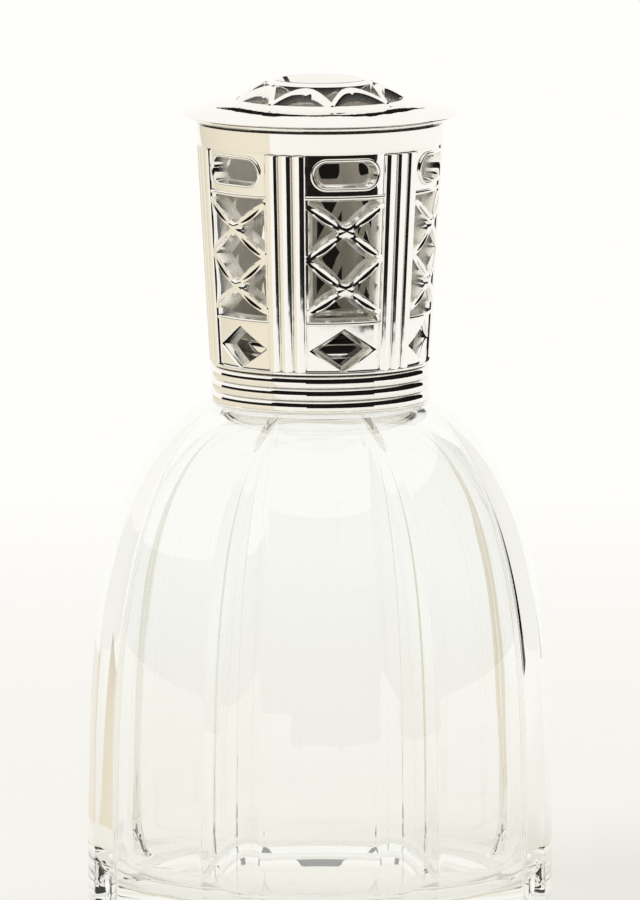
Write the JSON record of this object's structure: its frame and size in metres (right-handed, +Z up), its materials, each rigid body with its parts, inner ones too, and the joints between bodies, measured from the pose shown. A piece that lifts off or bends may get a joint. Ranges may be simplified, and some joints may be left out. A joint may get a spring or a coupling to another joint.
{
  "type": "catalytic fragrance lamp",
  "caption": "Fluted clear glass bottle with a lift-out catalytic burner, a snuffer over it and a tapered openwork metal cap, for scenting a room.",
  "frame": {"origin": "middle of the bottle's foot, on the surface that the lamp stands on", "axes": "+Z up along the bottle's axis, -Y towards the viewer of the picture"},
  "size_m": [0.0806, 0.0806, 0.1466],
  "materials": {
    "clear_glass": "clear, polished",
    "silver_plate": "bright silver plate, polished",
    "burner_metal": "satin",
    "bonding_compound": "matt",
    "gasket_rubber": "matt black",
    "catalytic_stone": "porous, matt"
  },
  "bodies": {
    "bottle": {"glass_bottle": "clear_glass", "collar_bond": "bonding_compound", "neck_collar": "silver_plate"},
    "burner": {"burner_holder": "burner_metal", "burner_stone": "catalytic_stone", "burner_gasket": "gasket_rubber", "wick_ferrule": "burner_metal"},
    "snuffer": {"snuffer_cap": "silver_plate"},
    "cap": {"cap_band": "silver_plate", "cap_wall": "silver_plate", "cap_lid": "silver_plate"}
  },
  "joints": [
    {"name": "cap_lift", "type": "slide", "parent": "bottle", "child": "cap", "axis": [0, 0, 1], "range_m": [0, 0.06]},
    {"name": "burner_lift", "type": "slide", "parent": "bottle", "child": "burner", "axis": [0, 0, 1], "range_m": [0, 0.0045]},
    {"name": "snuffer_lift", "type": "slide", "parent": "burner", "child": "snuffer", "axis": [0, 0, 1], "range_m": [0, 0.0045]}
  ]
}
